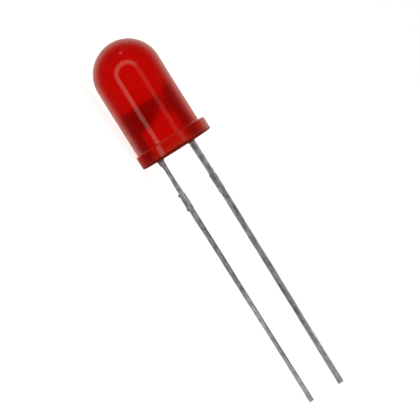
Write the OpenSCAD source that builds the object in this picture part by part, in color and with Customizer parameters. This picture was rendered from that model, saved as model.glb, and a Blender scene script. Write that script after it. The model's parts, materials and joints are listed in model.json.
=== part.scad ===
// Round 5 mm light emitting diode with two leads, cast in tinted epoxy.
// Lens frame, in which the pieces are drawn: +Z runs up the lens axis to the dome, z = 0 is the
// underside of the flange, and the leads lie side by side along X, the cathode on the -X side.

/* [Lens] */
// Diameter of the moulded barrel
lens_d = 5; // [4.4:0.1:6]
// Height from the underside of the flange to the tip of the dome
lens_h = 8.7; // [8.2:0.1:12]
// How far the flange stands out round the barrel
flange_rim = 0.4; // [0.25:0.05:0.8]
// Thickness of the flange
flange_h = 0.9; // [0.5:0.1:1.5]
// Radius on both edges of the flange
flange_edge_r = 0.1; // [0.04:0.02:0.2]
// Radius in the corner between the flange and the barrel
barrel_root_r = 0.1; // [0.04:0.02:0.2]
// How far outside the barrel the flat that marks the cathode lies
flat_land = 0.03; // [0.01:0.01:0.2]
// How far the epoxy creeps down each lead
creep_h = 0.4; // [0.1:0.05:1]
// How far the creep spreads from the sides of a lead at the flange
creep_w = 0.08; // [0.04:0.01:0.2]
// Thickness of the epoxy where the creep ends
creep_film = 0.02; // [0.01:0.005:0.03]

/* [Leads] */
// Distance between the middles of the two leads
pitch = 2.54; // [2.2:0.02:2.8]
// Width of each lead across the frame
lead_w = 0.45; // [0.35:0.01:0.6]
// Thickness of the sheet that the frame is stamped from
sheet_t = 0.5; // [0.35:0.01:0.6]
// Length of the leads below the flange
lead_l = 20; // [8:0.5:30]
// Angle by which the anode lead toes in below the dam bar, in degrees
anode_toe = 0.5; // [0:0.1:1.5]

/* [Dam bar stubs] */
// Distance from the flange to the sheared dam bar
dam_gap = 2.65; // [1.5:0.05:5]
// Height of the sheared dam bar
dam_h = 1.2; // [0.5:0.1:2]
// How far its stubs stand out from each side of a lead
dam_stub = 0.04; // [0.01:0.01:0.2]

/* [Cathode anvil] */
// Height of the anvil's flat top above the underside of the flange
anvil_top = 3.9; // [3.2:0.1:4.4]
// Height of the anvil's upright end
anvil_end_h = 0.5; // [0.3:0.05:0.8]
// How far the anvil reaches past the lens axis
anvil_reach = 0.67; // [0.6:0.01:0.75]
// Height of the whole anvil
anvil_h = 1.7; // [1.2:0.1:2]
// Distance from the cathode lead's outer side to the foot of the anvil's slope
anvil_foot = 1.2; // [0.8:0.05:1.5]
// Radius on the corners of the stamping
corner_r = 0.06; // [0.02:0.01:0.1]

/* [Reflector cup] */
// Diameter of the cup's rim outside
cup_d = 1.1; // [0.9:0.05:1.15]
// Diameter of the cup's mouth
cup_mouth_d = 0.86; // [0.7:0.02:0.88]
// Diameter of the cup's floor
cup_floor_d = 0.5; // [0.46:0.02:0.6]
// Depth of the cup
cup_depth = 0.34; // [0.25:0.01:0.45]
// Height of the straight side of the cup's bulge
cup_side_h = 0.25; // [0.1:0.05:0.4]
// Height over which the bulge tapers back into the sheet
cup_taper_h = 0.5; // [0.3:0.05:0.8]

/* [Anode post] */
// Height of the post's top above the underside of the flange
post_top = 4.27; // [4:0.01:4.8]
// Width of the post's top
post_top_w = 0.26; // [0.2:0.01:0.4]
// Width of the post at the foot of its slope
post_w = 0.8; // [0.6:0.05:0.85]
// Height of the post's slope
post_slope_h = 1.5; // [1:0.1:1.6]
// Height of the post's upright side below the slope
post_side_h = 0.35; // [0.2:0.05:0.5]

/* [Chip and wire] */
// Side of the square chip
die_w = 0.3; // [0.2:0.01:0.31]
// Height of the chip
die_h = 0.24; // [0.15:0.01:0.3]
// Diameter of the gold pad on the chip
pad_d = 0.12; // [0.1:0.01:0.15]
// Thickness of the gold pad
pad_h = 0.01; // [0.005:0.005:0.02]
// Diameter of the dab of silver epoxy under the chip
dab_d = 0.44; // [0.44:0.01:0.45]
// Thickness of the dab
dab_h = 0.03; // [0.01:0.01:0.05]
// Diameter of the gold wire
wire_d = 0.032; // [0.02:0.002:0.05]
// Diameter of the ball bond and of the foot of the stitch bond
ball_d = 0.08; // [0.06:0.005:0.1]
// Height of the ball bond and of the foot of the stitch bond
ball_h = 0.025; // [0.015:0.005:0.04]
// Height of the wire's loop above the post
loop_rise = 0.22; // [0.15:0.01:0.4]
// Radius of the wire's bend above the chip
loop_r = 0.16; // [0.1:0.01:0.25]

/* [Hidden] */
$fn = 96;

lens_r = lens_d / 2;
flange_r = lens_r + flange_rim;
flat_x = lens_r + flat_land;
dome_z = lens_h - lens_r;
lead_x = pitch / 2;
outer_x = lead_x + lead_w / 2;
dam_end = dam_gap + dam_h;
dab_z = anvil_top - cup_depth;
die_z = dab_z + dab_h;
pad_z = die_z + die_h;
ball_z = pad_z + pad_h;
stitch_x = outer_x - post_top_w / 2;
loop_z = post_top + ball_h + loop_rise;
seat_r = flange_r - flange_edge_r;
lean = atan((flat_x - outer_x) / lead_l);

// Lays the lens frame down, dome to -X and cathode underneath, as the lamp comes to rest: nose up,
// on the lower edge of the flange's flat and the end of the cathode lead.
module lying() {
    nose = dome_z * cos(lean) + lens_r;
    tail = lead_l * cos(lean) + outer_x * sin(lean);
    translate([(nose - tail) / 2, 0, flat_x * cos(lean)])
        rotate([0, lean, 0])
            rotate([0, -90, 0])
                children();
}

// Turns an outline in X and Z into a flat stamping of thickness t centred on Y.
module stamped(t) {
    rotate([90, 0, 0])
        linear_extrude(height = t, center = true)
            children();
}

module rounded(r) {
    offset(r = r, $fn = 24)
        offset(delta = -r)
            children();
}

// Half of the lens in section: barrel, dome, flange and the two moulded radii.
module lens_section() {
    square([lens_r, dome_z]);
    translate([0, dome_z])
        intersection() {
            circle(r = lens_r);
            square(lens_r);
        }
    square([seat_r, flange_h]);
    translate([0, flange_edge_r])
        square([flange_r, flange_h - 2 * flange_edge_r]);
    for (z = [flange_edge_r, flange_h - flange_edge_r])
        translate([seat_r, z])
            circle(r = flange_edge_r);
    translate([lens_r, flange_h])
        difference() {
            square(barrel_root_r);
            translate([barrel_root_r, barrel_root_r])
                circle(r = barrel_root_r);
        }
}

// Everything outside the flat, as high as the flange and its root radius.
module flat_cut() {
    translate([-flat_x - lens_r, -lens_d, -flange_h])
        cube([lens_r, 2 * lens_d, 2 * flange_h + 2 * barrel_root_r]);
}

// Outline of the creep down a lead that is w wide.
module creep_outline(w) {
    foot = w / 2 + creep_w;
    end = w / 2 + creep_film;
    polygon([[-foot, flange_h / 2], [foot, flange_h / 2], [foot, 0],
             [end, -creep_h], [-end, -creep_h], [-foot, 0]]);
}

module creep() {
    intersection() {
        stamped(lens_d)
            creep_outline(lead_w);
        rotate([0, 0, 90])
            stamped(lens_d)
                creep_outline(sheet_t);
    }
}

module lens_body() {
    difference() {
        rotate_extrude()
            lens_section();
        flat_cut();
    }
    for (side = [-1, 1])
        translate([side * lead_x, 0, 0])
            creep();
}

// A lead from height top down to the end of the dam bar, with the stubs of the bar.
module lead_root(top) {
    translate([-lead_w / 2, -dam_end])
        square([lead_w, dam_end + top]);
    translate([-lead_w / 2 - dam_stub, -dam_end])
        square([lead_w + 2 * dam_stub, dam_h]);
}

// The lead below the dam bar, leaning by toe degrees from the middle of the bar.
module lead_tail(toe) {
    drop = lead_l - dam_end + dam_h / 2;
    translate([0, -dam_end + dam_h / 2])
        rotate(toe)
            translate([-lead_w / 2, -drop])
                square([lead_w, drop]);
}

module anvil_outline() {
    polygon([[-outer_x, anvil_top], [anvil_reach, anvil_top],
             [anvil_reach, anvil_top - anvil_end_h],
             [anvil_foot - outer_x, anvil_top - anvil_h], [-outer_x, anvil_top - anvil_h]]);
}

module post_outline() {
    polygon([[outer_x, post_top], [outer_x - post_top_w, post_top],
             [outer_x - post_w, post_top - post_slope_h],
             [outer_x - post_w, post_top - post_slope_h - post_side_h],
             [outer_x, post_top - post_slope_h - post_side_h]]);
}

// The bulge that coining the cup raises on both faces of the sheet.
module cup_bulge() {
    translate([0, 0, anvil_top - cup_side_h])
        cylinder(d = cup_d, h = cup_side_h);
    translate([0, 0, anvil_top - cup_side_h - cup_taper_h])
        cylinder(d1 = sheet_t, d2 = cup_d, h = cup_taper_h);
}

// The coined hollow, whose slope runs on above the sheet to twice its depth.
module cup_hollow() {
    translate([0, 0, dab_z])
        cylinder(d1 = cup_floor_d, d2 = 2 * cup_mouth_d - cup_floor_d, h = 2 * cup_depth);
}

module cathode_frame() {
    difference() {
        union() {
            stamped(sheet_t) {
                translate([-lead_x, 0]) {
                    lead_root(anvil_top - anvil_h / 2);
                    lead_tail(0);
                }
                rounded(corner_r)
                    anvil_outline();
            }
            cup_bulge();
        }
        cup_hollow();
    }
}

module anode_frame() {
    stamped(sheet_t) {
        translate([lead_x, 0]) {
            lead_root(post_top - post_slope_h);
            lead_tail(-anode_toe);
        }
        rounded(corner_r)
            post_outline();
    }
}

module chip() {
    translate([-die_w / 2, -die_w / 2, die_z])
        cube([die_w, die_w, die_h]);
    translate([0, 0, pad_z])
        cylinder(d = pad_d, h = pad_h);
}

module dab() {
    translate([0, 0, dab_z])
        cylinder(d = dab_d, h = dab_h);
}

// A quarter bend of wire of radius r, from straight up at the origin to level along +X.
module wire_bend(r) {
    translate([r, 0, 0])
        rotate([90, 0, 0])
            rotate([0, 0, 90])
                rotate_extrude(angle = 90)
                    translate([r, 0])
                        circle(d = wire_d);
}

// Ball bond, rise, bend, level span, bend down and the foot of the stitch bond.
module wire() {
    translate([0, 0, ball_z])
        cylinder(d = ball_d, h = ball_h);
    translate([0, 0, ball_z + ball_h])
        cylinder(d = wire_d, h = loop_z - loop_r - ball_z - ball_h);
    translate([0, 0, loop_z - loop_r])
        wire_bend(loop_r);
    translate([loop_r, 0, loop_z])
        rotate([0, 90, 0])
            cylinder(d = wire_d, h = stitch_x - loop_r - loop_rise);
    translate([stitch_x, 0, loop_z - loop_rise])
        mirror([1, 0, 0])
            wire_bend(loop_rise);
    translate([stitch_x, 0, post_top])
        cylinder(d = ball_d, h = ball_h);
}

module epoxy_lens() {
    color([0.74, 0.02, 0.01, 0.8])
        lying()
            difference() {
                lens_body();
                cathode_frame();
                anode_frame();
                chip();
                dab();
                wire();
            }
}

module cathode_lead() {
    color([0.62, 0.62, 0.6])
        lying()
            cathode_frame();
}

module anode_lead() {
    color([0.62, 0.62, 0.6])
        lying()
            anode_frame();
}

module led_die() {
    color([0.35, 0.33, 0.36])
        lying()
            chip();
}

module die_attach() {
    color([0.75, 0.75, 0.76])
        lying()
            dab();
}

module bond_wire() {
    color([0.9, 0.7, 0.3])
        lying()
            wire();
}

epoxy_lens();
cathode_lead();
anode_lead();
led_die();
die_attach();
bond_wire();
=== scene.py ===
"""Looks of a round 5 mm red indicator lamp that lies on a pale floor.

Shapes are drawn in millimetres in the lens frame: +Z runs up the lens axis to the dome, Z = 0 is
the underside of the flange, -X is the cathode's side, which lies underneath, and -Y is the side
that faces the camera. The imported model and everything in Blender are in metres."""
import json
from math import cos, pi, radians, sin

import bmesh
import bpy
import numpy as np
from mathutils import Matrix, Vector, noise


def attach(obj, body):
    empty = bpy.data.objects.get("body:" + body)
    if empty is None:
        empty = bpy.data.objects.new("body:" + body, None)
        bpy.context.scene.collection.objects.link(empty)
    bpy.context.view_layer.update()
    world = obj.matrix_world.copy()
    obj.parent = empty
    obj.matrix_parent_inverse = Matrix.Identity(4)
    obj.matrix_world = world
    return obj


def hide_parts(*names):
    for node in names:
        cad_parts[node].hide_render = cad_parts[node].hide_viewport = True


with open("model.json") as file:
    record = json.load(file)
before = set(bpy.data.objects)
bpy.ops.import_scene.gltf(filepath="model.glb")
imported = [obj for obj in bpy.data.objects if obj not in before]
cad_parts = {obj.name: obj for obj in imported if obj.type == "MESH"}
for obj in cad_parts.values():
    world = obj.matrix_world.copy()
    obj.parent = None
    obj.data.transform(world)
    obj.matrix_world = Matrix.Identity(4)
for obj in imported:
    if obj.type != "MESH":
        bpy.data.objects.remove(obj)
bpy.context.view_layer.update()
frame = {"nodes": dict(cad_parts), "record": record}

# ---------------------------------------------------------------- the lens frame

MM = 0.001
mounts = {m["name"]: m for m in frame["record"]["mounts"]}
seat = Vector(mounts["board_seat"]["pos_m"])
down_axis = Vector(mounts["board_seat"]["axis"]).normalized()
away = Vector((0, 1, 0))
across = down_axis.cross(away)
lens_frame = Matrix((across, away, -down_axis)).transposed().to_4x4()
lens_frame.translation = seat


def lens_points(node):
    """A CAD node's vertices in the lens frame, in millimetres."""
    back = lens_frame.inverted()
    return np.array([back @ v.co for v in frame["nodes"][node].data.vertices]) / MM


lens_cad = lens_points("epoxy_lens")
lens_r = mounts["lens_barrel"]["dims"]["r_mm"]
lens_h = lens_cad[:, 2].max()
dome_z = lens_h - lens_r
flange_r = lens_cad[:, 1].max()
flat_x = -lens_cad[:, 0].min()
flange_h = (seat - Vector(mounts["flange_front"]["pos_m"])).dot(down_axis) / MM
lead_x = mounts["lead_pair"]["dims"]["spacing_y_mm"] / 2
lead_end = lens_points("cathode_lead")[:, 2].min()

# ---------------------------------------------------------------- sizes that looks need, in mm

# roundings of the flange's edges and of its root at the barrel
EDGE_R = 0.1
ROOT_R = 0.05

# the rim that hangs under the flange: its height, and as shares of that how much lower it hangs
# in the middle and how much it rises from there to its sides
RIM_Z = -0.09
RIM_SAG = 0.06
RIM_RISE = 0.5

# the dish inside the rim: the height of its floor and the width of its slope
DISH_Z = 0.11
DISH_W = 0.2

# the lens strays towards the anode's side by BOW times the square of the height above BOW_FROM
BOW = 0.0021
BOW_FROM = 3.3

# the epoxy that creeps down a lead: its reach, its spread at the dish, the film at its end, how
# hollow its side is, its corners, the flat round it in the dish, how its end tucks into the lead,
# and the height below which it thins out
CREEP_H = 0.19
CREEP_W = 0.1
CREEP_FILM = 0.01
CREEP_HOLLOW = 1.2
CREEP_CORNER_R = 0.06
CREEP_FLAT = 0.04
CREEP_TUCK = 0.03
CREEP_LIP = 0.01
CREEP_THINS = -0.08

# the epoxy's looks: below MATT_H it set in air, and a painted highlight runs as a paler line along
# the flange's root
MATT_H = 0.03
PAINTED_HIGHLIGHT_ABOVE = 0.02
PAINTED_HIGHLIGHT_HALF = 0.1

# the leads: their section, the piece of the tip that gives its middle, how far below the flange
# the lens throws red light on them, and how far up in the epoxy the tin gives way to the bare frame
LEAD_W = 0.45
LEAD_T = 0.5
TIP_H = 0.1
RED_LIGHT_TO = -2.5
BARE_FROM = 0.1

# the sheared dam bar: its ends in the solids, the margin past them that moves with it, how much
# lower it sits in the photograph, and how deep and how tapered its burrs are
DAM_TOP = -2.65
DAM_END = -3.85
DAM_MARGIN = 0.3
DAM_DROP = 0.28
BURR_DEPTH = 0.4 * LEAD_T
BURR_TAPER = 0.7

# the skin of tin: the size of a quad, how its edges are softened, and the scale, start and depth
# of its lumps and pits
SKIN_VOXEL = 0.03
SOFTEN = 0.5
SOFTEN_ROUNDS = 3
LUMP_SCALE = (2.5, 2.5, 1.1)
LUMP_START = 40
LUMP_DEPTH = 0.012
PIT_SCALE = (7, 7, 4)
PIT_START = 90
PIT_DEPTH = 0.006

# points round the lens and round the creep, and steps along their outlines
LENS_SIDES = 256
CREEP_SIDES = 48
DOME_STEPS = 56
BARREL_STEPS = 15
EDGE_STEPS = 6
DISH_STEPS = 8
CREEP_STEPS = 8

# ---------------------------------------------------------------- view and light

# the camera, in mm: its distance, the width that it sees at the lamp, and its sensor
CAMERA_DISTANCE = 300
CAMERA_WIDTH = 29.3706
CAMERA_SENSOR = 36

# how far it stands off square to the plane of the leads, turned about the lens axis, how far the
# lamp leans in the picture, and where the picture's centre lies, in mm right of and below the
# middle of the lens's underside
CAMERA_TURN = radians(4)
LAMP_LEAN = radians(32.2)
CENTRE_RIGHT = 2.4378
CENTRE_BELOW = 4.2427

# the floor: its radius in metres, its paper and the glow that only the camera sees
FLOOR_RADIUS = 1.5
FLOOR_PAPER = 0.9
FLOOR_GLOW = 0.8

# the ring light round the camera: its angles from the line of sight, its soft edge, its levels,
# and where it dims, as cosines from the anode's side and from the dome's end
RING_IN = radians(30)
RING_OUT = radians(44.5)
RING_SOFT = radians(1.5)
RING_BRIGHT = 2.85
RING_DIM = 0.72
DIM_ACROSS = (-0.1, 0.35)
DIM_ALONG = (0.02, 0.4)

# the dim walls, outside the ring and inside it, and the white behind the lamp
WALLS = 0.04
WALLS_INSIDE = 0.01
BACK = 0.75
BACK_FROM = radians(115)
BACK_TO = radians(177)
BACK_SOFT = radians(12)
STUDIO_TINT = (1, 0.95, 0.82, 1)

# the small lamp past the dome
SPOT_R = radians(5)
SPOT_SOFT = 0.2
SPOT_FROM_VIEW = radians(76)
SPOT_TURN = radians(12.3)
SPOT_LEVEL = 2.6

# the softbox, in metres and watts
SOFTBOX_SIZE = 0.12
SOFTBOX_DISTANCE = 0.16
SOFTBOX_POWER = 0.035

# ---------------------------------------------------------------- mesh helpers


def add_object(name, data):
    made = bpy.data.objects.new(name, data)
    bpy.context.scene.collection.objects.link(made)
    return made


def new_piece(name, mesh, node, material):
    """Puts a mesh drawn in the lens frame, in millimetres, in place of a CAD node."""
    mesh.transform(lens_frame @ Matrix.Scale(MM, 4))
    piece = add_object(name, mesh)
    mesh.materials.clear()
    mesh.materials.append(material)
    mesh.shade_smooth()
    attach(piece, "root")
    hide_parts(node)
    return piece


def arc(centre_x, centre_y, r, start, end, steps):
    """Points on an arc, from the angle start to the angle end in degrees, both ends included."""
    turns = np.radians(np.linspace(start, end, steps + 1))
    return [(centre_x + r * cos(t), centre_y + r * sin(t)) for t in turns]


def bridge(bm, upper, lower):
    """Quads between two closed rings of vertices, facing out where upper lies above lower."""
    count = len(upper)
    for i in range(count):
        j = (i + 1) % count
        bm.faces.new((upper[i], lower[i], lower[j], upper[j]))


def ring_edges(bm, ring):
    return [bm.edges.get((ring[i - 1], ring[i])) for i in range(len(ring))]


# ---------------------------------------------------------------- the lens


def lens_profile():
    """Radius and height down the lens from beside the dome's tip to the dish underneath."""
    seat_r = flange_r - EDGE_R
    dome = arc(0, dome_z, lens_r, 90, 0, DOME_STEPS)[1:]
    barrel_heights = np.linspace(dome_z, flange_h + ROOT_R, BARREL_STEPS + 1)
    barrel = [(lens_r, z) for z in barrel_heights[1:-1]]
    root = arc(lens_r + ROOT_R, flange_h + ROOT_R, ROOT_R, 180, 270, EDGE_STEPS)
    top_edge = arc(seat_r, flange_h - EDGE_R, EDGE_R, 90, 0, EDGE_STEPS)
    low_edge = arc(seat_r, RIM_Z + EDGE_R, EDGE_R, 0, -90, EDGE_STEPS)
    rim_r = seat_r - EDGE_R / 2
    turns = np.linspace(0, pi / 2, DISH_STEPS + 1)
    dish = [(rim_r - DISH_W * (1 - cos(t)), RIM_Z + (DISH_Z - RIM_Z) * sin(t)) for t in turns]
    return dome + barrel + root + top_edge + low_edge + dish


def flat_limit(r, z):
    """How far towards the cathode a ring of the profile may reach."""
    if z > flange_h + ROOT_R / 2:
        return 2 * flange_r
    if z < flange_h / 2:
        return flat_x - (flange_r - r)
    return flat_x


def bow_at(z):
    """How far the lens strays towards the anode's side at height z."""
    return BOW * max(z - BOW_FROM, 0) ** 2


def hang(x, z):
    """Height z of the profile as it hangs at x: below the flange the rim is lowest in its middle."""
    return z * (1 + RIM_SAG - RIM_RISE * (x / flange_r) ** 2) if z < 0 else z


def lens_ring(bm, r, z):
    """One ring of the lens's skin, cut straight along the flat."""
    limit = flat_limit(r, z)
    ring = []
    for i in range(LENS_SIDES):
        turn = 2 * pi * i / LENS_SIDES
        x = max(r * cos(turn), -limit)
        ring.append(bm.verts.new((x + bow_at(z), r * sin(turn), hang(x, z))))
    return ring


def creep_rings(bm, x):
    """Rings of the epoxy that creeps down a lead at x, from the dish to its end in the lead."""
    spread_from = CREEP_W - CREEP_FILM
    drop = DISH_Z + CREEP_H
    run = [(CREEP_W + CREEP_FLAT, DISH_Z)]
    for share in np.linspace(0, 1, CREEP_STEPS + 1):
        run.append((CREEP_FILM + spread_from * (1 - share) ** CREEP_HOLLOW, DISH_Z - drop * share))
    run.append((-CREEP_TUCK, -CREEP_H - CREEP_LIP))
    corner_x = LEAD_W / 2 - CREEP_CORNER_R
    corner_y = LEAD_T / 2 - CREEP_CORNER_R
    rings = []
    for spread, z in run:
        r = CREEP_CORNER_R + spread
        ring = []
        for i in range(CREEP_SIDES):
            turn = 2 * pi * (i + 0.5) / CREEP_SIDES
            out_x = np.sign(cos(turn)) * corner_x + r * cos(turn)
            out_y = np.sign(sin(turn)) * corner_y + r * sin(turn)
            ring.append(bm.verts.new((x + out_x, out_y, z)))
        rings.append(ring)
    return rings


def lens_mesh():
    """The cast lens: dome, barrel, flange with its flat, the dish that the epoxy sets to
    underneath, and the creep down both leads."""
    bm = bmesh.new()
    tip = bm.verts.new((bow_at(lens_h), 0, lens_h))
    rings = [lens_ring(bm, r, z) for r, z in lens_profile()]
    for i in range(LENS_SIDES):
        bm.faces.new((tip, rings[0][i], rings[0][(i + 1) % LENS_SIDES]))
    for upper, lower in zip(rings, rings[1:]):
        bridge(bm, upper, lower)
    borders = ring_edges(bm, rings[-1])
    for x in (-lead_x, lead_x):
        creep = creep_rings(bm, x)
        for upper, lower in zip(creep, creep[1:]):
            bridge(bm, upper, lower)
        bm.faces.new(reversed(creep[-1]))
        borders += ring_edges(bm, creep[0])
    bmesh.ops.triangle_fill(bm, use_beauty=True, edges=borders, normal=(0, 0, -1))
    bmesh.ops.dissolve_degenerate(bm, dist=1e-6, edges=bm.edges[:])
    bmesh.ops.recalc_face_normals(bm, faces=bm.faces[:])
    mesh = bpy.data.meshes.new("lens")
    bm.to_mesh(mesh)
    bm.free()
    return mesh


# ---------------------------------------------------------------- the leads


def burr(bm, x, z, reach, height):
    """A blunt sheared nub that stands reach out from x, on a lead's side towards the cathode's."""
    foot = (x + LEAD_W / 4, height / 2, BURR_DEPTH)
    face = (x - reach, height / 4, BURR_DEPTH * BURR_TAPER)
    rings = []
    for out, half, deep in (foot, face):
        corners = ((-deep, -half), (deep, -half), (deep, half), (-deep, half))
        rings.append([bm.verts.new((out, y, z + rise)) for y, rise in corners])
    bridge(bm, rings[0], rings[1])
    bm.faces.new(reversed(rings[0]))
    bm.faces.new(rings[1])


def lead_solid(node, burrs):
    """A lead's CAD solid in the lens frame, with its burrs, and with its dam bar lowered."""
    bm = bmesh.new()
    bm.from_mesh(frame["nodes"][node].data)
    bmesh.ops.transform(bm, matrix=Matrix.Scale(1 / MM, 4) @ lens_frame.inverted(), verts=bm.verts)
    bmesh.ops.remove_doubles(bm, verts=bm.verts, dist=1e-4)
    for x, z, reach, height in burrs:
        burr(bm, x, z, reach, height)
    for vertex in bm.verts:
        if DAM_END - DAM_MARGIN < vertex.co.z < DAM_TOP + DAM_MARGIN:
            vertex.co.z -= DAM_DROP
    mesh = bpy.data.meshes.new(node)
    bm.to_mesh(mesh)
    bm.free()
    return mesh


def remeshed(mesh):
    """The mesh as one even skin of quads with softened edges."""
    source = add_object("source", mesh)
    remesh = source.modifiers.new("skin", "REMESH")
    remesh.mode = "VOXEL"
    remesh.voxel_size = SKIN_VOXEL
    soften = source.modifiers.new("soften", "SMOOTH")
    soften.factor = SOFTEN
    soften.iterations = SOFTEN_ROUNDS
    graph = bpy.context.evaluated_depsgraph_get()
    made = bpy.data.meshes.new_from_object(source.evaluated_get(graph))
    bpy.data.objects.remove(source)
    return made


def lead_middle(node, z):
    """The lead's middle in X at height z, straight from the dam bar to the tip, from the CAD."""
    points = lens_points(node)
    tip = points[points[:, 2] < lead_end + TIP_H][:, 0]
    start = np.sign(tip.mean()) * lead_x
    dam = (DAM_TOP + DAM_END) / 2 - DAM_DROP
    share = np.clip((z - dam) / (lead_end - dam), 0, 1)
    return start + share * ((tip.min() + tip.max()) / 2 - start)


def noise_on_skin(point, scale, start):
    """Smooth noise from -1 to 1 at a point, with scale grains a millimetre along X, Y and Z."""
    x, y, z = (c * s for c, s in zip(point, scale))
    return noise.noise(Vector((x, y, z + start)))


def lead_mesh(node, burrs, widths):
    """A lead with sheared burrs, soft dipped edges and an uneven skin of tin.

    widths lists heights below the flange, the lead's width there, and how far it strays in X."""
    mesh = remeshed(lead_solid(node, burrs))
    points = np.zeros(len(mesh.vertices) * 3)
    mesh.vertices.foreach_get("co", points)
    points = points.reshape(-1, 3)
    normals = np.zeros(points.size, np.float32)
    mesh.vertex_normals.foreach_get("vector", normals)
    normals = normals.reshape(-1, 3)
    heights, across_lead, strays = zip(*reversed(widths))
    width = np.interp(points[:, 2], heights, across_lead)
    stray = np.interp(points[:, 2], heights, strays)
    from_middle = points[:, 0] - lead_middle(node, points[:, 2])
    outside = np.clip(-points[:, 2] / CREEP_H, 0, 1)
    points[:, 0] += outside * ((width / LEAD_W - 1) * from_middle + stray)
    for i in np.nonzero(points[:, 2] < 0)[0]:
        lumps = noise_on_skin(points[i], LUMP_SCALE, LUMP_START)
        pits = noise_on_skin(points[i], PIT_SCALE, PIT_START)
        points[i] += normals[i] * (LUMP_DEPTH * lumps + PIT_DEPTH * pits - LUMP_DEPTH)
    mesh.vertices.foreach_set("co", points.astype(np.float32).ravel())
    edge = mesh.attributes.new("edge", "FLOAT", "POINT")
    edge.data.foreach_set("value", (0.5 + from_middle / LEAD_W).astype(np.float32))
    mesh.update()
    return mesh


# ---------------------------------------------------------------- node helpers


def node_material(name):
    """A material with one Principled shader, its nodes and its links."""
    material = bpy.data.materials.new(name)
    material.use_nodes = True
    tree = material.node_tree
    shader = tree.nodes["Principled BSDF"]
    return material, tree, shader


def put(tree, kind, **values):
    """A new node with its plain settings, and its inputs by name."""
    node = tree.nodes.new(kind)
    for key, value in values.items():
        if key in node.inputs:
            node.inputs[key].default_value = value
        else:
            setattr(node, key, value)
    return node


def feed(tree, socket, value):
    """Links value to the socket, or sets the socket to it where it is a plain number or colour."""
    if isinstance(value, bpy.types.NodeSocket):
        tree.links.new(value, socket)
    else:
        socket.default_value = value


def calc(tree, operation, *values):
    """A Math node over sockets or plain numbers."""
    made = put(tree, "ShaderNodeMath", operation=operation)
    for socket, value in zip(made.inputs, values):
        feed(tree, socket, value)
    return made.outputs[0]


def scaled(tree, value, low, high, out_low=0.0, out_high=1.0, kind="LINEAR"):
    """value mapped so that low gives out_low and high gives out_high, and held beyond them."""
    made = put(tree, "ShaderNodeMapRange", interpolation_type=kind)
    for socket, number in zip(made.inputs, (value, low, high, out_low, out_high)):
        feed(tree, socket, number)
    return made.outputs["Result"]


def band(tree, value, middle, half):
    """1 where value is at the middle, falling to 0 at half above and below it."""
    off_middle = calc(tree, "ABSOLUTE", calc(tree, "SUBTRACT", value, middle))
    return scaled(tree, off_middle, 0, half, 1, 0)


def lens_coordinates(tree, size):
    """Coordinates in the lens frame, counted in steps of size millimetres across, away and up."""
    where = put(tree, "ShaderNodeTexCoord")
    mapping = put(tree, "ShaderNodeMapping", vector_type="TEXTURE")
    mapping.inputs["Location"].default_value = seat
    mapping.inputs["Rotation"].default_value = lens_frame.to_euler()
    mapping.inputs["Scale"].default_value = Vector(size) * MM
    tree.links.new(where.outputs["Object"], mapping.inputs["Vector"])
    return mapping.outputs["Vector"]


def height_at(tree):
    """Height in millimetres in the lens frame."""
    parts = put(tree, "ShaderNodeSeparateXYZ")
    tree.links.new(lens_coordinates(tree, (1, 1, 1)), parts.inputs[0])
    return parts.outputs["Z"]


def noise_at(tree, size, detail=3.0, roughness=0.5):
    """Noise whose grains are size millimetres across, away and up in the lens frame."""
    made = put(tree, "ShaderNodeTexNoise", Scale=1.0, Detail=detail, Roughness=roughness)
    tree.links.new(lens_coordinates(tree, size), made.inputs["Vector"])
    return made.outputs["Fac"]


def ramp(tree, value, stops):
    """A colour ramp over value. Each stop is a position and a colour or a grey."""
    made = put(tree, "ShaderNodeValToRGB")
    for i, (place, colour) in enumerate(stops):
        if i > 1:
            made.color_ramp.elements.new(place)
        element = made.color_ramp.elements[i]
        element.position = place
        grey = isinstance(colour, (int, float))
        element.color = (colour, colour, colour, 1) if grey else (*colour, 1)
    tree.links.new(value, made.inputs["Fac"])
    return made.outputs["Color"]


def blend(tree, mode, factor, first, second):
    """Two colours mixed, each a socket or a plain colour."""
    made = put(tree, "ShaderNodeMix", data_type="RGBA", blend_type=mode)
    feed(tree, made.inputs[0], factor)
    feed(tree, made.inputs[6], first)
    feed(tree, made.inputs[7], second)
    return made.outputs[2]


def bump(tree, shader, height, strength, distance):
    made = put(tree, "ShaderNodeBump", Strength=strength, Distance=distance)
    tree.links.new(height, made.inputs["Height"])
    tree.links.new(made.outputs["Normal"], shader.inputs["Normal"])


# ---------------------------------------------------------------- materials


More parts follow.
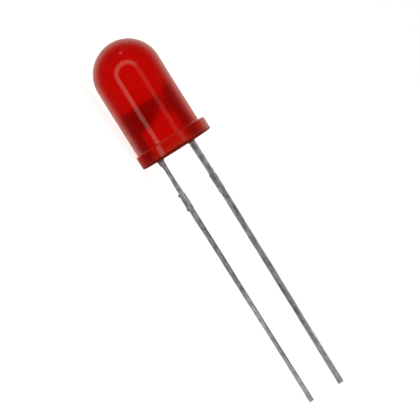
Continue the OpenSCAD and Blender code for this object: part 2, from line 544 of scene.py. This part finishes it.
def epoxy_colour(tree):
    """Cloudy red, with painted shade at the rim, low on the flange and at the dome's top, a painted
    sheen low on the flange, a painted highlight along the flange's root, and paler in the creep.
    """
    height = height_at(tree)
    cloud = noise_at(tree, (1.1, 1.1, 2))
    colour = ramp(tree, cloud, [(0.3, (0.81, 0.002, 0.0007)), (0.7, (0.88, 0.0028, 0.0009))])
    # painted shade: darkest at the rim, darker low on the flange, a little darker at the dome's top
    level = ramp(tree, scaled(tree, height, 0, lens_h), [
        (0.0, 0.45), (0.008, 0.95), (0.025, 0.76), (0.042, 0.9), (0.1, 0.98), (0.13, 1.0),
        (0.7, 1.0), (1.0, 0.95)])
    colour = blend(tree, "MULTIPLY", 1.0, colour, level)
    # painted sheen: a greyer, browner red low on the flange, strongest just above its underside
    painted_sheen = ramp(tree, scaled(tree, height, 0, flange_h), [
        (0.0, (0.0, 0.02, 0.013)), (0.05, (0.0, 0.045, 0.03)), (0.15, (0.0, 0.05, 0.03)),
        (0.3, (0.0, 0.024, 0.011)), (0.5, (0.0, 0.006, 0.0005)), (0.9, (0.0, 0.005, 0.0)),
        (1.0, (0.0, 0.0, 0.0))])
    colour = blend(tree, "ADD", 1.0, colour, painted_sheen)
    # painted highlight: a paler line where the flange's top edge and root catch the light
    painted_highlight = band(tree, height, flange_h + PAINTED_HIGHLIGHT_ABOVE, PAINTED_HIGHLIGHT_HALF)
    colour = blend(tree, "MIX", painted_highlight, colour, (1.0, 0.022, 0.014, 1))
    # the creep thins out down the leads, and the tin shows through it
    thin = scaled(tree, height, -CREEP_H, CREEP_THINS, 0.8, 0)
    return blend(tree, "MIX", thin, colour, (0.6, 0.31, 0.27, 1))


def tinted_epoxy():
    """Red pigmented epoxy: cloudy inside, with a clear moulded gloss outside."""
    material, tree, shader = node_material("tinted_epoxy")
    shader.inputs["IOR"].default_value = 1.5
    shader.inputs["Specular Tint"].default_value = (1, 0.04, 0.03, 1)
    shader.inputs["Transmission Weight"].default_value = 0.62
    shader.inputs["Coat Roughness"].default_value = 0.04
    tree.links.new(epoxy_colour(tree), shader.inputs["Base Color"])
    # the rim and the underside set in air, not against the mould, so they are matt
    moulded = scaled(tree, height_at(tree), 0, MATT_H)
    tree.links.new(scaled(tree, moulded, 0, 1, 0.1, 0.45), shader.inputs["Coat Weight"])
    rough = ramp(tree, noise_at(tree, (0.4, 0.4, 0.7)), [(0.3, 0.4), (0.7, 0.46)])
    rough = blend(tree, "MIX", moulded, (0.9, 0.9, 0.9, 1), rough)
    tree.links.new(rough, shader.inputs["Roughness"])
    bump(tree, shader, noise_at(tree, (1.4, 1.4, 2.8)), 0.15, 0.00002)
    return material


def tinned_steel(name, levels, inside_grey, stains_to, right_edge):
    """Dull dip tinned steel: drawn streaks and stains, painted shade along its edges, uneven along
    the lead.

    levels lists heights and how light the lead's colour is there. The bare frame in the epoxy is
    inside_grey, the stains fade below stains_to, and right_edge is the level of the edge on the
    anode's side: painted shade below 1 and a painted highlight above 1."""
    material, tree, shader = node_material(name)
    shader.inputs["Metallic"].default_value = 0.4
    height = height_at(tree)
    streaks = ramp(tree, noise_at(tree, (0.09, 0.09, 5), 2), [(0.4, 0.5), (0.6, 1.0)])
    stains = ramp(tree, noise_at(tree, (0.22, 0.22, 0.42), 4), [(0.42, 0.55), (0.56, 1.0)])
    edge = put(tree, "ShaderNodeAttribute", attribute_name="edge").outputs["Fac"]
    # painted shade along the edge on the cathode's side; the other edge gets painted shade below 1
    # and a painted highlight above 1
    edges = ramp(tree, edge, [(0.05, 0.7), (0.3, 1.0), (0.7, 1.0), (0.95, right_edge)])
    stops = [(z / lead_end, pale) for z, pale in levels]
    level = ramp(tree, scaled(tree, height, 0, lead_end), stops)
    tin = blend(tree, "MULTIPLY", 1.0, (0.98, 1.01, 1.15, 1), streaks)
    stained = scaled(tree, height, stains_to, lead_end, 1, 0.65)
    tin = blend(tree, "MULTIPLY", stained, tin, stains)
    tin = blend(tree, "MULTIPLY", 1.0, tin, edges)
    tin = blend(tree, "MULTIPLY", 1.0, tin, level)
    # the lens throws red light on the roots, and a less red tin there keeps them grey
    near_lens = scaled(tree, height, RED_LIGHT_TO, 0)
    tin = blend(tree, "MULTIPLY", near_lens, tin, (1.04, 1.36, 1.3, 1))
    bare = (inside_grey, inside_grey, inside_grey, 1)
    inside = scaled(tree, height, 0, BARE_FROM)
    tree.links.new(blend(tree, "MIX", inside, tin, bare), shader.inputs["Base Color"])
    rough = ramp(tree, noise_at(tree, (0.33, 0.33, 1.1), 4), [(0.3, 0.48), (0.7, 0.66)])
    tree.links.new(rough, shader.inputs["Roughness"])
    bump(tree, shader, noise_at(tree, (0.09, 0.09, 0.67), 5), 0.5, 0.00001)
    return material


def fine_metal(name, colour, grain, smoothest, roughest):
    """A small metal or crystal part, its colour and gloss broken by grains of grain millimetres."""
    material, tree, shader = node_material(name)
    shader.inputs["Metallic"].default_value = 1.0
    dark = tuple(0.75 * c for c in colour)
    tint = ramp(tree, noise_at(tree, (grain, grain, grain)), [(0.3, dark), (0.7, colour)])
    tree.links.new(tint, shader.inputs["Base Color"])
    rough = ramp(tree, noise_at(tree, (grain, grain, grain), 5), [(0.3, smoothest), (0.7, roughest)])
    tree.links.new(rough, shader.inputs["Roughness"])
    return material


def floor_material():
    """Matt white paper, which glows for the camera alone, so that it shows white with a shadow."""
    material, tree, shader = node_material("floor")
    tree.nodes.remove(shader)
    paper = put(tree, "ShaderNodeBsdfDiffuse", Color=(FLOOR_PAPER, FLOOR_PAPER, FLOOR_PAPER, 1))
    glow = put(tree, "ShaderNodeEmission")
    path = put(tree, "ShaderNodeLightPath")
    seen = calc(tree, "MULTIPLY", path.outputs["Is Camera Ray"], FLOOR_GLOW)
    tree.links.new(seen, glow.inputs["Strength"])
    both = put(tree, "ShaderNodeAddShader")
    tree.links.new(paper.outputs[0], both.inputs[0])
    tree.links.new(glow.outputs[0], both.inputs[1])
    tree.links.new(both.outputs[0], tree.nodes["Material Output"].inputs["Surface"])
    return material


# ---------------------------------------------------------------- the pieces

new_piece("cast_lens", lens_mesh(), "epoxy_lens", tinted_epoxy())

# each burr: the lead's side in X, its height, how far it stands out, and how long it is
cathode_side = -lead_x - LEAD_W / 2
anode_side = lead_x - LEAD_W / 2
dam_middle = (DAM_TOP + DAM_END) / 2
cathode_burrs = [
    (cathode_side, -0.2, 0.1, 1.2), (cathode_side, DAM_TOP, 0.17, 0.34),
    (cathode_side, dam_middle, 0.09, 1.6), (cathode_side, DAM_END + 0.05, 0.135, 0.34)]
anode_burrs = [
    (anode_side, DAM_TOP, 0.09, 0.4), (anode_side, dam_middle, 0.07, 1.5),
    (anode_side, DAM_END, 0.07, 0.5)]

# each stop: a height below the flange, the lead's width there, and how far it strays in X
cathode_widths = [
    (0, 0.4, 0), (-0.8, 0.31, 0), (-1.8, 0.3, 0), (-2.4, 0.36, -0.01), (-3, 0.37, 0),
    (-5, 0.4, -0.01), (-5.8, 0.37, -0.005), (-8, 0.36, 0), (-11, 0.35, -0.007),
    (-14, 0.32, -0.003), (-17, 0.31, -0.01), (lead_end, 0.34, -0.01)]
anode_widths = [
    (0, 0.47, 0.005), (-1.5, 0.44, 0.015), (-2.7, 0.43, 0.022), (-3, 0.4, 0.025),
    (-4.1, 0.4, 0.03), (-4.5, 0.44, 0.032), (-7, 0.425, 0.037), (-12, 0.415, 0.034),
    (-15, 0.39, 0.02), (lead_end, 0.43, 0.012)]

# each stop: a height below the flange, and how light the lead's colour is there
cathode_levels = [
    (-0.8, 0.82), (-2.1, 0.9), (-3.6, 0.76), (-6.3, 0.71), (-10.5, 0.89), (-14.3, 0.95),
    (-17.1, 1.0), (-18.8, 0.89)]
anode_levels = [
    (-0.8, 0.93), (-2.1, 0.83), (-3.6, 0.83), (-6.3, 0.77), (-10.5, 0.63), (-14.3, 0.65),
    (-17.1, 0.87), (-18.8, 0.86)]

cathode_mesh = lead_mesh("cathode_lead", cathode_burrs, cathode_widths)
anode_mesh = lead_mesh("anode_lead", anode_burrs, anode_widths)
# right_edge gives painted shade on the cathode's lead and a painted highlight on the anode's lead
cathode_steel = tinned_steel(
    "cathode_steel", cathode_levels, inside_grey=0.25, stains_to=-8, right_edge=0.75)
anode_steel = tinned_steel(
    "anode_steel", anode_levels, inside_grey=0.36, stains_to=-14, right_edge=1.2)
new_piece("cathode_leg", cathode_mesh, "cathode_lead", cathode_steel)
new_piece("anode_leg", anode_mesh, "anode_lead", anode_steel)

finishes = {
    "led_die": fine_metal("crystal", (0.16, 0.15, 0.17), 0.033, 0.15, 0.3),
    "die_attach": fine_metal("silver_epoxy", (0.66, 0.66, 0.67), 0.017, 0.45, 0.7),
    "bond_wire": fine_metal("gold", (0.86, 0.62, 0.22), 0.02, 0.12, 0.25),
}
for node, material in finishes.items():
    materials = frame["nodes"][node].data.materials
    materials.clear()
    materials.append(material)

# ---------------------------------------------------------------- camera

# sight points from the lamp to the camera, almost square to the plane of the leads, and aside
# points across the lens axis to the anode's side
sight = (-away * cos(CAMERA_TURN) + across * sin(CAMERA_TURN)).normalized()
aside = sight.cross(down_axis)
right = (down_axis * sin(LAMP_LEAN) + aside * cos(LAMP_LEAN)).normalized()
up = sight.cross(right)
centre = seat + (CENTRE_RIGHT * right - CENTRE_BELOW * up) * MM


def place_on_sight(thing, distance):
    """Puts a camera or a lamp distance metres from the lamp on the line of sight, facing it."""
    thing.matrix_world = Matrix((right, up, sight)).transposed().to_4x4()
    thing.matrix_world.translation = centre + sight * distance


camera = add_object("camera", bpy.data.cameras.new("camera"))
camera.data.sensor_width = CAMERA_SENSOR
camera.data.lens = CAMERA_SENSOR * CAMERA_DISTANCE / CAMERA_WIDTH
camera.data.clip_start = 0.001
place_on_sight(camera, CAMERA_DISTANCE * MM)
bpy.context.scene.camera = camera

# ---------------------------------------------------------------- floor

floor_bm = bmesh.new()
bmesh.ops.create_circle(floor_bm, cap_ends=True, segments=64, radius=FLOOR_RADIUS)
floor_mesh = bpy.data.meshes.new("floor")
floor_bm.to_mesh(floor_mesh)
floor_bm.free()
floor_mesh.materials.append(floor_material())
floor = add_object("floor", floor_mesh)
floor.visible_glossy = False
floor.visible_transmission = False

# ---------------------------------------------------------------- light


def studio_level(tree):
    """How bright the studio is each way: a ring light round the camera, a small lamp past the
    dome, dim walls, and white behind."""
    way = put(tree, "ShaderNodeTexCoord").outputs["Generated"]

    def towards(direction):
        made = put(tree, "ShaderNodeVectorMath", operation="DOT_PRODUCT")
        made.inputs[1].default_value = direction
        tree.links.new(way, made.inputs[0])
        return made.outputs["Value"]

    def soft_step(value, low, high, out_low, out_high):
        return scaled(tree, value, low, high, out_low, out_high, "SMOOTHSTEP")

    view = towards(sight)
    outer = (cos(RING_OUT + RING_SOFT), cos(RING_OUT - RING_SOFT))
    inner = (cos(RING_IN + RING_SOFT), cos(RING_IN - RING_SOFT))
    ring = calc(tree, "MULTIPLY", soft_step(view, *outer, 0, 1), soft_step(view, *inner, 1, 0))
    dim_across = soft_step(towards(aside), *DIM_ACROSS, 0, 1)
    dim_along = soft_step(towards(-down_axis), *DIM_ALONG, 1, 0)
    dim = calc(tree, "MULTIPLY", dim_across, dim_along)
    level = calc(tree, "MULTIPLY_ADD", dim, RING_DIM - RING_BRIGHT, RING_BRIGHT)
    ring = calc(tree, "MULTIPLY", ring, level)
    walls = soft_step(view, *inner, WALLS, WALLS_INSIDE)
    behind = soft_step(view, cos(BACK_FROM + BACK_SOFT), cos(BACK_FROM - BACK_SOFT), BACK, 0)
    deepest = soft_step(view, cos(BACK_TO), cos(BACK_FROM), 1 - BACK, 0)
    behind = calc(tree, "ADD", behind, deepest)
    behind = calc(tree, "MULTIPLY", behind, soft_step(view, -1, cos(BACK_TO), 0, 1))
    spot_way = sight * cos(SPOT_FROM_VIEW) + sin(SPOT_FROM_VIEW) * (
        aside * sin(SPOT_TURN) - down_axis * cos(SPOT_TURN))
    spot_edge = (cos(SPOT_R * (1 + SPOT_SOFT)), cos(SPOT_R * (1 - SPOT_SOFT)))
    spot = soft_step(towards(spot_way), *spot_edge, 0, SPOT_LEVEL)
    total = ring
    for part in (walls, behind, spot):
        total = calc(tree, "ADD", total, part)
    return total


def studio_world():
    """The studio as a world: camera and transmission rays see plain white in its place."""
    world = bpy.data.worlds.new("studio")
    world.use_nodes = True
    tree = world.node_tree
    shade = put(tree, "ShaderNodeBackground", Color=STUDIO_TINT)
    tree.links.new(studio_level(tree), shade.inputs["Strength"])
    white = tree.nodes["Background"]
    white.inputs["Color"].default_value = (1, 1, 1, 1)
    white.inputs["Strength"].default_value = 1.0
    path = put(tree, "ShaderNodeLightPath")
    rays = (path.outputs["Is Camera Ray"], path.outputs["Is Transmission Ray"])
    both = put(tree, "ShaderNodeMixShader")
    tree.links.new(calc(tree, "MAXIMUM", *rays), both.inputs[0])
    tree.links.new(shade.outputs[0], both.inputs[1])
    tree.links.new(white.outputs[0], both.inputs[2])
    tree.links.new(both.outputs[0], tree.nodes["World Output"].inputs["Surface"])
    return world


bpy.context.scene.world = studio_world()

softbox = add_object("softbox", bpy.data.lights.new("softbox", "AREA"))
softbox.data.shape = "DISK"
softbox.data.size = SOFTBOX_SIZE
softbox.data.energy = SOFTBOX_POWER
place_on_sight(softbox, SOFTBOX_DISTANCE)
softbox.visible_glossy = False
softbox.visible_camera = False
softbox.visible_transmission = False

bpy.context.scene.view_settings.view_transform = "Standard"
